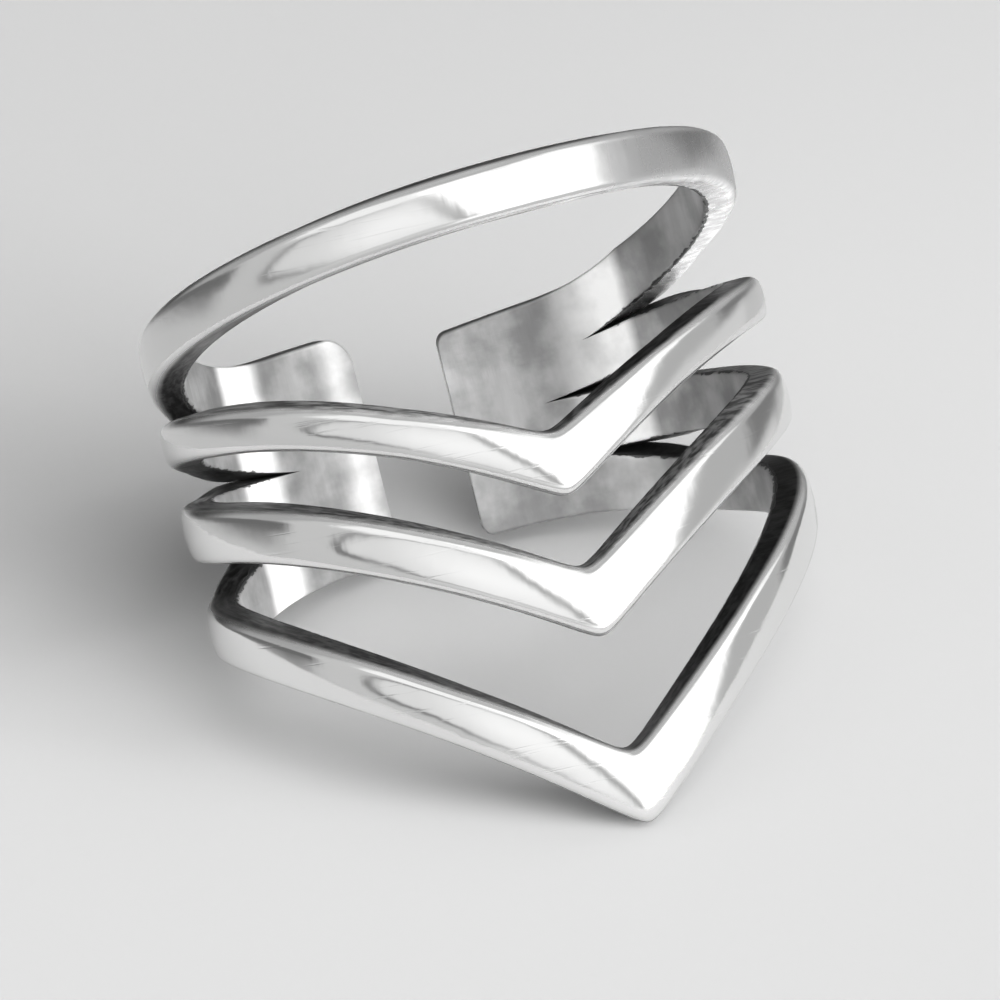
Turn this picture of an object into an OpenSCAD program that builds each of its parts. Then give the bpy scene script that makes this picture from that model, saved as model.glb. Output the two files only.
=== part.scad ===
// Open silver ring for a finger: a short band at the back splits into four bars round the front,
// one arched upwards and three chevrons that point down, each deeper than the one above it.
// The ring rests on the point of its lowest chevron and on the lower edge of its band,
// front towards -Y, on the plane z = 0. Angles round the finger are counted from the front.

/* [Finger] */
// Inside diameter of the ring
bore_d = 17.3; // [15:0.1:21]
// Thickness of the metal at the middle of a bar
wall = 1.2; // [0.9:0.05:1.6]
// Clear width between the two ends of the band at the back
opening_w = 2.9; // [1:0.1:4.5]

/* [Back band] */
// Height of the band where it is whole
band_h = 7.6; // [6.4:0.1:8.4]
// Radius of the rounded corners at the two ends of the band
corner_r = 0.35; // [0.2:0.05:1.2]
// Radius of the rounder corner above the left end
left_corner_r = 0.95; // [0.2:0.05:1.6]
// How far the upper edge of the band sinks towards its right end
right_sink = 0.85; // [0:0.05:1.2]
// Angle from the front to the point of the upper slit
slit_upper_a = 139; // [130:1:142]
// Angle from the front to the point of the lower slit
slit_lower_a = 147; // [143:1:148]
// Angle from the front to the point of the middle slit
slit_middle_a = 151; // [149:1:154]
// Angle by which each slit stops sooner on the outside than on the inside
slit_slant_a = 13; // [6:1:18]

/* [Top bar] */
// Height of the arch at the front, above the middle of the band
top_front_z = 8.6; // [6.5:0.1:10]
// Width of the top bar
top_w = 1.8; // [1.2:0.05:2]
// How much higher its right arm stands than its left one
top_right_z = 0.5; // [0:0.05:0.8]

/* [Second bar] */
// Height of the point of the second bar, measured from the middle of the band
second_front_z = -0.3; // [-1.2:0.05:1.2]
// Height of its arms at the side
second_side_z = 3; // [2.7:0.1:3.4]
// Angle from the front at which its arms level out
second_reach_a = 65; // [50:1:85]
// Width of its arms
second_w = 1.45; // [1.1:0.05:1.6]
// Added width at its point
second_tip_w = 0.35; // [0:0.05:0.7]
// How much higher its right arm stands than its left one
second_right_z = -0.5; // [-0.6:0.05:0.2]

/* [Third bar] */
// Height of the point of the third bar, measured from the middle of the band
third_front_z = -4.75; // [-5.6:0.05:-3.7]
// Height of its arms at the side
third_side_z = -0.3; // [-0.6:0.1:0]
// Angle from the front at which its arms level out
third_reach_a = 75; // [62:1:95]
// Width of its arms
third_w = 1.8; // [1.3:0.05:1.85]
// Added width at its point
third_tip_w = 0.05; // [0:0.05:0.5]
// How much higher its right arm stands than its left one
third_right_z = -0.45; // [-0.6:0.05:0.2]

/* [Lowest bar] */
// Height of the point of the lowest bar, measured from the middle of the band
lowest_front_z = -10.75; // [-12:0.05:-8.5]
// Height of its arms at the side
lowest_side_z = -3.7; // [-4.2:0.1:-3.4]
// Angle from the front at which its arms level out
lowest_reach_a = 97; // [85:1:115]
// Width of its arms
lowest_w = 1.7; // [1.2:0.05:1.9]
// Added width at its point
lowest_tip_w = 0.15; // [0:0.05:0.6]

/* [Edges] */
// Radius of the rounded outer edges
edge_r = 0.22; // [0.1:0.02:0.34]
// Height of the dome across the outer face of a bar
crown_h = 0.1; // [0.02:0.01:0.2]
// Chamfer along the inner edges
chamfer = 0.12; // [0.04:0.02:0.24]
// Length round the ring over which the points of the chevrons are rounded
point_l = 0.35; // [0.1:0.05:0.8]

/* [Hidden] */

// Columns of the table of bars: heights of the middle of the bar at the front and at the side,
// the angle where its arms level out, its width, the width added at its point and how much higher
// its right arm stands
FRONT = 0;
SIDE = 1;
REACH = 2;
WIDTH = 3;
TIP = 4;
RIGHT = 5;
bars = [
    [top_front_z, top_front_z, 0, top_w, 0, top_right_z],
    [second_front_z, second_side_z, second_reach_a, second_w, second_tip_w, second_right_z],
    [third_front_z, third_side_z, third_reach_a, third_w, third_tip_w, third_right_z],
    [lowest_front_z, lowest_side_z, lowest_reach_a, lowest_w, lowest_tip_w, 0],
];
slits = [slit_upper_a, slit_middle_a, slit_lower_a];
last_bar = len(bars) - 1;

// Radii of the bore and of the outer face, the angle of the two ends and of their corners.
// Angles grow from the front to the right, and are below 0 on the left
bore_r = bore_d / 2;
outer_r = bore_r + wall;
mm_a = 180 / PI / outer_r;
end_a = 180 - asin(opening_w / bore_d);
corner_a = end_a - corner_r * mm_a;
round_corner_a = end_a - max(corner_r, left_corner_r) * mm_a;
// The angle from which the upper edge of the band sinks
sink_a = slit_upper_a - slit_slant_a;

// How the bars come down into the band, the angle that the foot of a point takes up, the angle
// over which the rims run into the band, and how long before its end a slit starts to narrow
fall = 1.15;
tip_a = 28;
rim_a = 5;
narrow_a = 20;
// How far the rough inside stands into the bore before it is cut round
bore_stock = 0.15;

// Lines run between the bars, from 0 above the top bar to 4 below the lowest one
function line_of(b, side) = side > 0 ? b : b + 1;
function is_slit(line) = line > 0 && line <= last_bar;
function slit_end(line) = is_slit(line) ? slits[line - 1] : line == 0 ? slit_upper_a : slit_lower_a;
function lane_z(line) = band_h * (0.5 - line / len(bars));

// 1 up to the angle where the arms level out, and 0 from the end of the slit
function rise(a, from, to) =
    abs(a) <= from ? 1
    : abs(a) >= to ? 0
    : pow(cos(90 * (abs(a) - from) / (to - from)), fall);
// 0 on the left and at the front, and 1 from the ring's right side
function right_share(a) = pow(sin(min(90, max(0, a))), 2);

// Share of the chevron's reach that is left at an angle from the front; its point is rounded
function round_a(a) = norm([a, point_l * mm_a]);
function left_share(bar, a) = round_a(a) < bar[REACH] ? 1 - round_a(a) / bar[REACH] : 0;
function dip(bar, a) = (bar[SIDE] - bar[FRONT]) * pow(left_share(bar, a), 2);
function slope(bar, a) =
    bar[REACH] == 0 ? 0 : 2 * (bar[SIDE] - bar[FRONT]) * left_share(bar, a) / bar[REACH] * mm_a;
// Half the height of the bar, cut along the finger, at an angle from the front
function half_h(bar, a) =
    (bar[WIDTH] + bar[TIP] * max(0, 1 - abs(a) / tip_a)) / 2 * norm([1, slope(bar, a)]);

// Height of the upper (side 1) or lower (side -1) edge of bar b, without the chevron's own depth
function level_z(b, side, a) =
    let (lane = lane_z(line_of(b, side)), middle = bars[b][SIDE] + bars[b][RIGHT] * right_share(a))
    lane + (middle + side * half_h(bars[b], a) - lane) * rise(a, bars[b][REACH], slit_end(line_of(b, side)));
// The rims above and below the whole ring run into the band without a corner
function rim_z(b, side, a) =
    let (near = [for (i = [-2 : 2]) level_z(b, side, a + i * rim_a)])
    near * [for (z = near) 1] / len(near);
// The corners of the two ends take height off every edge, and the sinking rim off the upper ones
function is_upper(line) = lane_z(line) > 0;
function corner_drop(line, a) =
    let (r = a < 0 && is_upper(line) ? left_corner_r : corner_r)
    let (u = max(0, abs(a) - end_a + r * mm_a) / (r * mm_a))
    r * (1 - sqrt(max(0, 1 - u * u)));
function sink(line, a) = is_upper(line) ? right_sink * max(0, (a - sink_a) / (end_a - sink_a)) : 0;
function end_share(line, a) = 1 - (corner_drop(line, a) + sink(line, a)) * 2 / band_h;
function edge_z(b, side, a) =
    (is_slit(line_of(b, side)) ? level_z(b, side, a) - dip(bars[b], a) : rim_z(b, side, a) - dip(bars[b], a))
    * end_share(line_of(b, side), a);

// Height of a slit between the two bars beside it, and of its middle
function slit_h(line, a) = edge_z(line - 1, -1, a) - edge_z(line, 1, a);
function slit_z(line, a) = (edge_z(line - 1, -1, a) + edge_z(line, 1, a)) / 2;
// A slit is open right through, then a groove on the inside only, and then closed
function is_through(line, a) = is_slit(line) && abs(a) < slit_end(line) - slit_slant_a - 0.001;
function is_closed(line, a) = is_slit(line) && abs(a) > slit_end(line) - 0.001;
// Share of its height that a slit keeps on the outside
function narrow_share(line, a) = min(1, max(0, (slit_end(line) - slit_slant_a - abs(a)) / narrow_a));
function outside_z(b, side, a) =
    let (line = line_of(b, side), z = edge_z(b, side, a))
    is_slit(line) ? slit_z(line, a) + (z - slit_z(line, a)) * narrow_share(line, a) : z;
// How far its walls are from the rounded edges: 1 well open, 0 closed
function outer_share(line, a) =
    is_slit(line) ? min(1, max(0, slit_h(line, a) * narrow_share(line, a) / (2 * edge_r))) : 1;
function inner_share(line, a) =
    is_slit(line) ? min(1, max(0, slit_h(line, a) / (2 * edge_r))) : 1;

// The outer radius falls off towards the edges of each bar, or of the whole band, and at the ends
function dome(b, a, z) =
    let (top = outside_z(b, 1, a), low = outside_z(b, -1, a), k = min(outer_share(b, a), outer_share(b + 1, a)))
    crown_h * (k * pow((2 * z - top - low) / (top - low), 2) + (1 - k) * pow(2 * z / band_h, 2));
function end_drop(a) =
    let (q = max(0, 1 - (end_a - abs(a)) / (edge_r * mm_a)))
    edge_r * (1 - sqrt(1 - q * q));
function skin_r(b, a, z) = outer_r - dome(b, a, z) - end_drop(a);

// Points of the cross-section of bar b, as radius and height: along the outer face from its upper
// edge to its lower one, down the lower wall, back along the bore and up the upper wall.
// Shares of edge_r down from an outer edge, and inwards at the same point
edge_down = [0, 0.29, 1];
edge_in = [1, 0.29, 0];
face_shares = [0.25, 0.5, 0.75];
function outer_edge(b, side, a, i) =
    let (z = outside_z(b, side, a) - side * edge_r * edge_down[i])
    [skin_r(b, a, z) - edge_r * edge_in[i] * outer_share(line_of(b, side), a), z];
function outer_face(b, a, share) =
    let (z = outside_z(b, 1, a) * (1 - share) + outside_z(b, -1, a) * share)
    [skin_r(b, a, z), z];
function inner_edge(b, side, a, i) =
    let (step = chamfer + bore_stock)
    [
        bore_r - bore_stock + step * (1 - i) * inner_share(line_of(b, side), a),
        edge_z(b, side, a) - side * i * step,
    ];
// The middle of a wall becomes the floor of the groove, which comes in from the outside to the bore
function wall_middle(b, side, a) =
    let (line = line_of(b, side), out = outer_edge(b, side, a, 0), in = inner_edge(b, side, a, 0))
    let (through = 0.5 + 0.5 * (1 - narrow_share(line, a)))
    let (groove = max(0, (slit_end(line) - abs(a)) / slit_slant_a))
    is_slit(line) ? in + (out - in) * (is_through(line, a) ? through : groove) : (in + out) / 2;
function groove_floor(line, a) =
    let (p = wall_middle(line, 1, a))
    is_through(line, a) ? p : [p[0], slit_z(line, a)];
function wall_point(b, side, a) =
    let (line = line_of(b, side))
    is_slit(line) && !is_through(line, a) ? groove_floor(line, a) : wall_middle(b, side, a);
function section(b, a) = [
    for (i = [0 : 2]) outer_edge(b, 1, a, i),
    for (share = face_shares) outer_face(b, a, share),
    for (i = [2 : -1 : 0]) outer_edge(b, -1, a, i),
    wall_point(b, -1, a),
    for (i = [0 : 1]) inner_edge(b, -1, a, i),
    for (i = [1 : -1 : 0]) inner_edge(b, 1, a, i),
    wall_point(b, 1, a),
];
// Columns of a cross-section: its outer edges, its inner edges and the middles of its walls
UPPER_OUT = 0;
LOWER_OUT = 8;
LOWER_WALL = 9;
LOWER_IN = 10;
UPPER_IN = 13;
UPPER_WALL = 14;
count = 15;

// Angles of the cross-sections: closer near the points of the chevrons and round the corners of
// the band, and one at each end of each slit
steps = 34;
step_power = 1.3;
corner_steps = [0.35, 0.65, 0.86, 0.97, 1];
key_angles = [
    for (s = slits) s,
    for (s = slits) s - slit_slant_a,
    for (share = corner_steps) round_corner_a + (end_a - round_corner_a) * share,
];
even_angles = [for (i = [1 : steps]) round_corner_a * pow(i / steps, step_power)];
function is_clear(a) = min([for (key = key_angles) abs(a - key)]) > 1.6 || a == round_corner_a;
function sorted(v) =
    len(v) < 2 ? v
    : concat(sorted([for (x = v) if (x < v[0]) x]), [v[0]], sorted([for (x = v) if (x > v[0]) x]));
half_angles = sorted(concat(key_angles, [for (a = even_angles) if (is_clear(a)) a]));
half_count = len(half_angles);
angles = [
    for (i = [half_count - 1 : -1 : 0]) -half_angles[i],
    0,
    for (a = half_angles) a,
];
last = len(angles) - 1;

// The points: every cross-section of every bar, then the middle of each bar on both end faces
function at_radius(p, a) = [p[0] * sin(a), -p[0] * cos(a), p[1]];
sections = [for (a = angles) [for (b = [0 : last_bar]) section(b, a)]];
ring_points = [
    for (k = [0 : last]) for (b = [0 : last_bar]) for (p = sections[k][b]) at_radius(p, angles[k]),
    for (k = [0, last]) for (b = [0 : last_bar])
        at_radius([for (p = sections[k][b]) 1] * sections[k][b] / count, angles[k]),
];
function raw_id(k, b, j) = (k * len(bars) + b) * count + j;
function middle_id(k, b) = raw_id(last + 1, 0, b + (k == 0 ? 0 : len(bars)));

// Two neighbours share the points of their common edges where the slit between them isn't open
function through_at(k, line) = is_through(line, angles[k]);
function closed_at(k, line) = is_closed(line, angles[k]);
function starts_at(k, line) = abs(abs(angles[k]) - slit_end(line) + slit_slant_a) < 0.001;
function floor_id(k, b) =
    closed_at(k, b) ? raw_id(k, b, UPPER_IN)
    : starts_at(k, b) ? raw_id(k, b, UPPER_OUT)
    : raw_id(k, b, UPPER_WALL);
function id(k, b, j) =
    j == UPPER_WALL && is_slit(b) && !through_at(k, b) ? floor_id(k, b)
    : j < LOWER_OUT || j > LOWER_IN || !is_slit(b + 1) || through_at(k, b + 1) ? raw_id(k, b, j)
    : j == LOWER_OUT ? raw_id(k, b + 1, UPPER_OUT)
    : j == LOWER_WALL ? floor_id(k, b + 1)
    : closed_at(k, b + 1) ? raw_id(k, b + 1, UPPER_IN) : raw_id(k, b, j);

// A piece of wall that lies inside the metal is left out: the outer half of a wall beside a groove,
// and both halves where the slit is closed
function wall_line(b, j) = j == LOWER_OUT || j == LOWER_WALL ? b + 1 : j == UPPER_IN || j == UPPER_WALL ? b : 0;
function is_outer_half(j) = j == LOWER_OUT || j == UPPER_WALL;
function is_inside(k, b, j) =
    let (line = wall_line(b, j))
    is_slit(line) && (is_outer_half(j)
        ? !through_at(k, line) && !through_at(k + 1, line)
        : closed_at(k, line) && closed_at(k + 1, line));
// Both halves of the ring are split into triangles as mirror images
function halves(p, q, r, s, mirrored) = mirrored ? [[p, q, s], [q, r, s]] : [[p, q, r], [p, r, s]];
function is_whole(f) = f[0] != f[1] && f[1] != f[2] && f[2] != f[0];
side_faces = [
    for (k = [0 : last - 1]) for (b = [0 : last_bar]) for (j = [0 : count - 1])
        if (!is_inside(k, b, j))
            let (n = (j + 1) % count)
            for (f = halves(id(k, b, j), id(k + 1, b, j), id(k + 1, b, n), id(k, b, n), k < half_count))
                if (is_whole(f)) f,
];
end_faces = [
    for (k = [0, last]) for (b = [0 : last_bar]) for (j = [0 : count - 1])
        let (p = id(k, b, j), q = id(k, b, (j + 1) % count), m = middle_id(k, b))
        if (p != q) k == 0 ? [m, p, q] : [m, q, p],
];

// Lean at which the point of the lowest bar and the lower edge of the band touch one plane
rest_r = outer_r - crown_h - edge_r;
point_z = edge_z(last_bar, -1, 0);
back_z = edge_z(last_bar, -1, corner_a);
lean_a = atan2(back_z - point_z, rest_r * (1 - cos(corner_a)));
leaned = [
    for (p = ring_points)
        [cos(lean_a) * p[1] + sin(lean_a) * p[2], cos(lean_a) * p[2] - sin(lean_a) * p[1]]
];
depths = [for (p = leaned) p[0]];
heights = [for (p = leaned) p[1]];

module rest() {
    translate([0, -(min(depths) + max(depths)) / 2, -min(heights)])
        rotate([-lean_a, 0, 0])
            children();
}

module ring() {
    color("gainsboro")
        rest()
            difference() {
                polyhedron(points = ring_points, faces = concat(side_faces, end_faces), convexity = 12);
                translate([0, 0, lowest_front_z - bore_d])
                    cylinder(r = bore_r, h = 3 * bore_d, $fn = 120);
            }
}

ring();
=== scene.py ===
import logging
import math
from dataclasses import dataclass, field
from enum import Enum
from typing import Any, Union

import bmesh
import bpy
import numpy as np
from mathutils import Matrix, Vector


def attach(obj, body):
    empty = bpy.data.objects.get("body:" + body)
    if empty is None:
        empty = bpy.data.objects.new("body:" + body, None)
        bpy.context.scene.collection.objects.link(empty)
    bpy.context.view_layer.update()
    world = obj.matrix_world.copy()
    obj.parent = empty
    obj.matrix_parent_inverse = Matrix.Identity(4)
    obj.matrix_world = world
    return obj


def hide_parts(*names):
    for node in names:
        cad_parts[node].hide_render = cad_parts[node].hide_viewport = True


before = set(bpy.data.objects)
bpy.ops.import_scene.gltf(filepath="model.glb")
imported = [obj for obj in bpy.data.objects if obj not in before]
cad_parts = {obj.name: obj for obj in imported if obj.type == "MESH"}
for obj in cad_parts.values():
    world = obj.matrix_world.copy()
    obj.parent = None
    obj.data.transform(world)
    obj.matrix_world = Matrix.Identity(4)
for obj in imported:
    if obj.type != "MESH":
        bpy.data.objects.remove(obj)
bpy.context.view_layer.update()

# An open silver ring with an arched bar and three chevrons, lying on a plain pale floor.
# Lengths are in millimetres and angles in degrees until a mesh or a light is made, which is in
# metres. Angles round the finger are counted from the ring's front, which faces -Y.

MM = 0.001
LOG = logging.getLogger("chevron_ring")

Operand = Union["Socket", float, int]
Pair = tuple[float, float]
Triple = tuple[float, float, float]
Rgba = tuple[float, float, float, float]


def way_to(azimuth: float, elevation: float) -> Vector:
    """The direction at an azimuth, 0 in front of the ring and 90 to its right, and an elevation."""
    turn, rise = math.radians(azimuth), math.radians(elevation)
    return Vector((math.sin(turn) * math.cos(rise), -math.cos(turn) * math.cos(rise), math.sin(rise)))


def add_object(name: str, data: bpy.types.ID) -> bpy.types.Object:
    """Makes an object and links it to the scene.

    Args:
        name: its name.
        data: its mesh, light or camera.

    Returns:
        The object.
    """
    made = bpy.data.objects.new(name, data)
    bpy.context.scene.collection.objects.link(made)
    return made


# Shader maths


class Socket:
    """An output socket of a node, on which arithmetic adds Math nodes."""

    def __init__(self, graph: "Graph", end: bpy.types.NodeSocket) -> None:
        """Wraps a node's output socket, with the graph that it belongs to."""
        self.graph = graph
        self.end = end

    def math(self, operation: str, *others: Operand, clamp: bool = False) -> "Socket":
        """Adds a Math node with this socket as its first value and the others after it."""
        values = {i: value for i, value in enumerate((self, *others))}
        return self.graph.add("ShaderNodeMath", {"operation": operation, "use_clamp": clamp}, values)

    def flipped(self, operation: str, first: Operand) -> "Socket":
        """Adds a Math node with this socket as its second value."""
        return self.graph.add("ShaderNodeMath", {"operation": operation}, {0: first, 1: self})

    def __add__(self, other: Operand) -> "Socket":
        """This value plus another."""
        return self.math("ADD", other)

    def __radd__(self, other: Operand) -> "Socket":
        """Another value plus this one."""
        return self.flipped("ADD", other)

    def __sub__(self, other: Operand) -> "Socket":
        """This value less another."""
        return self.math("SUBTRACT", other)

    def __rsub__(self, other: Operand) -> "Socket":
        """Another value less this one."""
        return self.flipped("SUBTRACT", other)

    def __mul__(self, other: Operand) -> "Socket":
        """This value times another."""
        return self.math("MULTIPLY", other)

    def __rmul__(self, other: Operand) -> "Socket":
        """Another value times this one."""
        return self.flipped("MULTIPLY", other)

    def __truediv__(self, other: Operand) -> "Socket":
        """This value divided by another."""
        return self.math("DIVIDE", other)

    def __pow__(self, other: Operand) -> "Socket":
        """This value raised to a power."""
        return self.math("POWER", other)

    def clamp(self) -> "Socket":
        """This value held between 0 and 1."""
        return self.math("ADD", 0.0, clamp=True)

    def ease(self, start: float, stop: float, low: float = 0.0, high: float = 1.0) -> "Socket":
        """Runs smoothly from one value to another as this one passes between two limits.

        Args:
            start: where the result leaves low.
            stop: where it reaches high.
            low: the result up to start.
            high: the result from stop.

        Returns:
            The eased value.
        """
        return self.graph.add(
            "ShaderNodeMapRange",
            {"interpolation_type": "SMOOTHSTEP"},
            {"Value": self, "From Min": start, "From Max": stop, "To Min": low, "To Max": high},
        )

    def between(self, low: float, high: float, soft: float) -> "Socket":
        """A mask that is 1 where this value lies between two limits, and fades over soft at each."""
        rise = self.ease(low - soft / 2, low + soft / 2)
        return rise * self.ease(high - soft / 2, high + soft / 2, 1.0, 0.0)


@dataclass(frozen=True)
class Grain:
    """A noise: its lumps to a unit of length, its octaves, and a factor for each axis of the place."""

    scale: float
    detail: float = 2.0
    stretch: Triple = (1.0, 1.0, 1.0)


class Graph:
    """A node tree that nodes are added to by type, settings and inputs."""

    def __init__(self, tree: bpy.types.NodeTree) -> None:
        """Empties the node tree of a material or of the world and wraps it."""
        tree.nodes.clear()
        self.tree = tree

    def add(
        self,
        kind: str,
        settings: dict[str, Any] | None = None,
        inputs: dict[str | int, Any] | None = None,
        output: str | int = 0,
    ) -> Socket:
        """Adds one node.

        Args:
            kind: the node's type.
            settings: its properties, which are set first.
            inputs: values or sockets for its inputs, by name or number.
            output: the output to return, by name or number.

        Returns:
            The chosen output.
        """
        node = self.tree.nodes.new(kind)
        for name, value in (settings or {}).items():
            setattr(node, name, value)
        for name, value in (inputs or {}).items():
            if isinstance(value, Socket):
                self.tree.links.new(value.end, node.inputs[name])
            else:
                node.inputs[name].default_value = value
        return Socket(self, node.outputs[output] if node.outputs else None)

    def attribute(self, name: str, output: str = "Fac") -> Socket:
        """Reads one of the mesh's own attributes."""
        return self.add("ShaderNodeAttribute", {"attribute_name": name}, output=output)

    def part(self, vector: Socket, axis: str) -> Socket:
        """The X, Y or Z of a vector."""
        return self.add("ShaderNodeSeparateXYZ", {}, {0: vector}, axis)

    def mix(self, factor: Operand, first: Socket | Rgba, second: Socket | Rgba) -> Socket:
        """Mixes two colours, each a socket or four numbers: 0 gives the first and 1 the second."""
        return self.add("ShaderNodeMix", {"data_type": "RGBA"}, {0: factor, 6: first, 7: second}, 2)

    def grey(self, value: Socket) -> Socket:
        """The colour of a neutral grey whose brightness is a socket."""
        return self.mix(value, grey(0.0), grey(1.0))

    def noise(self, place: Socket, grain: Grain) -> Socket:
        """Adds a noise.

        Args:
            place: the coordinates it lies over.
            grain: its pattern.

        Returns:
            The noise, from 0 to 1.
        """
        spread = self.add("ShaderNodeVectorMath", {"operation": "MULTIPLY"}, {0: place, 1: grain.stretch})
        inputs = {"Vector": spread, "Scale": grain.scale, "Detail": grain.detail}
        return self.add("ShaderNodeTexNoise", {}, inputs, "Fac")


def grey(value: float) -> Rgba:
    """The colour of a neutral grey with full alpha."""
    return (value, value, value, 1.0)


# Finishes


@dataclass(frozen=True)
class PolishedSilver:
    """Bright silver: mirror-polished faces with a hand-made waviness and fine wear, greyed in places as a
    painted darker reflection, filed walls in the slits that the polish left dark, with painted shade added
    inside the slits, and a bore that is painted bright in bands as painted highlights.

    The patterns lie over the ring's own coordinates: along the arc to the right, outwards and up.
    """

    tone: Triple = (0.86, 0.86, 0.855)
    # Colour of the painted shade where a slit is nearly shut
    groove_shade_grey: float = 0.02
    torn_grey: float = 0.06
    # Grey of the hazy faces: a painted darker reflection
    haze_shade_grey: float = 0.7
    # Brightness of the bore on the left and on the right, and the arc over which it changes
    bore_greys: Pair = (0.5, 0.44)
    bore_arc: Pair = (-1.0, 1.0)

    # Roughness of each zone, and what wear adds to it
    face_rough: float = 0.09
    bore_rough: float = 0.3
    wall_rough: float = 0.4
    haze_rough: float = 0.22
    smudge_rough: float = 0.045
    scratch_rough: float = 0.06
    brush_rough: float = 0.08
    stroke_rough: float = 0.1
    torn_rough: float = 0.15

    # Shares of the surface that scatter light like a matt one; the share in the bore's bright bands helps
    # their painted highlight
    bore_satin: float = 0.08
    highlight_satin: float = 0.22
    wall_satin: float = 0.2

    # The waviness and the wear of the faces. Heights are in millimetres, and limits are the values
    # of a noise between which its pattern goes from none to full
    waves: Grain = Grain(0.33, 1.0)
    wave_h: float = 0.05
    dents: Grain = Grain(0.9)
    dent_h: float = 0.013
    strokes: Grain = Grain(3.2, 2.0, (1.0, 0.1, 0.16))
    stroke_h: float = 0.0024
    scratches: Grain = Grain(1.0, 3.0, (0.25, 1.0, 8.0))
    scratch_limits: Pair = (0.6, 0.72)
    scratch_h: float = 0.0012
    smudges: Grain = Grain(0.55, 3.0)
    smudge_limits: Pair = (0.4, 0.75)

    # The bore: how far brushing and blotches vary its brightness, and how far blotches break up its painted
    # highlight bands
    brushing: Grain = Grain(2.6, 3.0, (1.0, 1.0, 0.2))
    brush_h: float = 0.014
    brush_contrast: float = 0.3
    blotches: Grain = Grain(0.55, 4.0, (1.1, 1.0, 1.2))
    blotch_limits: Pair = (0.34, 0.66)
    blotch_range: Pair = (0.68, 1.13)
    highlight_cover: float = 0.95
    highlight_blotching: float = 1.6

    # File marks on the walls, which turn from along the bar to across it on the right, and the share
    # of a wall's brightness that they take, at their bottom and at their top
    long_marks: Grain = Grain(6.0, 3.0, (0.12, 1.0, 1.0))
    cross_marks: Grain = Grain(4.6, 4.0, (1.0, 0.4, 0.4))
    cross_arc: Pair = (4.5, 7.5)
    mark_h: float = 0.014
    mark_limits: Pair = (0.38, 0.64)
    mark_dark: Pair = (0.7, -0.5)
    # Wall brightness from which a wall is polished, and how much of its marks and roughness go then
    shine_tones: Pair = (0.6, 0.9)
    shine_clears: float = 0.8
    shine_smooths: float = 0.6

    # Torn inner edges, where the mesh's burr, varied by chips, passes a threshold
    chips: Grain = Grain(2.6, 4.0, (1.0, 1.0, 1.4))
    chip_spread: float = 2.6
    burr_limits: Pair = (0.05, 0.3)
    torn_from: float = 0.55
    torn_soft: float = 0.2
    torn_h: float = 0.02
    torn_cover: float = 0.85

    def make(self) -> bpy.types.Material:
        """Makes the material.

        Returns:
            A material that reads the mesh's own ring coordinates and its masks.
        """
        material = bpy.data.materials.new("polished_silver")
        material.use_nodes = True
        g = Graph(material.node_tree)
        place = g.attribute("ring_mm", "Vector")
        names = ("wall", "wall_tone_and_shade", "bore", "painted_highlight_band", "groove", "haze_and_shade", "face_turn_mm")
        wall, wall_tone_and_shade, bore, bright, groove, haze_and_shade, face_turn = (g.attribute(name) for name in names)
        arc, torn = g.part(place, "X"), self.torn(g, place)
        shine = wall_tone_and_shade.ease(*self.shine_tones)

        strokes, brush, blotches = (g.noise(place, n) for n in (self.strokes, self.brushing, self.blotches))
        smudges = g.noise(place, self.smudges).ease(*self.smudge_limits)
        scratches = g.noise(place, self.scratches).ease(*self.scratch_limits)
        along, across = g.noise(place, self.long_marks), g.noise(place, self.cross_marks)
        file_marks = along + arc.ease(*self.cross_arc) * (across - along)

        # Hazy faces are greyed: a painted darker reflection
        faces = g.mix(haze_and_shade, (*self.tone, 1.0), grey(self.haze_shade_grey))
        mottled = blotches.ease(*self.blotch_limits, *self.blotch_range)
        mottled = mottled * arc.ease(*self.bore_arc, *self.bore_greys)
        dull = g.grey(mottled * (1.0 + (brush - 0.5) * self.brush_contrast))
        # Painted highlights: bright bands of the bore, broken up by the blotches
        band = (bright * (self.highlight_cover + (blotches - 0.5) * self.highlight_blotching)).clamp()
        bores = g.mix(band, dull, (*self.tone, 1.0))
        dark_marks = file_marks.ease(*self.mark_limits, *self.mark_dark) * (1.0 - shine * self.shine_clears)
        # Walls: their filed finish, darkened further by painted shade inside the slits
        walls = g.grey(wall_tone_and_shade * (1.0 - dark_marks))
        colour = g.mix(wall, g.mix(bore, faces, bores), walls)
        colour = g.mix(torn * self.torn_cover, colour, grey(self.torn_grey))
        # Painted shade: near black where a slit is nearly shut or only a groove
        colour = g.mix(groove, colour, grey(self.groove_shade_grey))

        rough = self.face_rough + smudges * self.smudge_rough + scratches * self.scratch_rough
        rough = rough + bore * (self.bore_rough - self.face_rough + brush * self.brush_rough)
        rough = rough + wall * (1.0 - shine * self.shine_smooths) * (self.wall_rough - self.face_rough)
        rough = rough + haze_and_shade * (self.haze_rough - self.face_rough + strokes * self.stroke_rough)
        rough = rough + torn * self.torn_rough
        satin = bore * self.bore_satin + bright * self.highlight_satin + wall * self.wall_satin

        ripple = g.noise(place, self.waves) * self.wave_h + g.noise(place, self.dents) * self.dent_h
        height = ripple + face_turn + strokes * self.stroke_h - scratches * self.scratch_h
        height = height + bore * brush * self.brush_h - torn * self.torn_h
        height = height + wall * (1.0 - shine) * file_marks * self.mark_h
        normal = g.add("ShaderNodeBump", {}, {"Strength": 1.0, "Distance": MM, "Height": height})
        shader = g.add(
            "ShaderNodeBsdfPrincipled",
            {},
            {"Base Color": colour, "Metallic": 1.0 - satin, "Roughness": rough, "Normal": normal},
        )
        g.add("ShaderNodeOutputMaterial", {}, {"Surface": shader})
        return material

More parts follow.
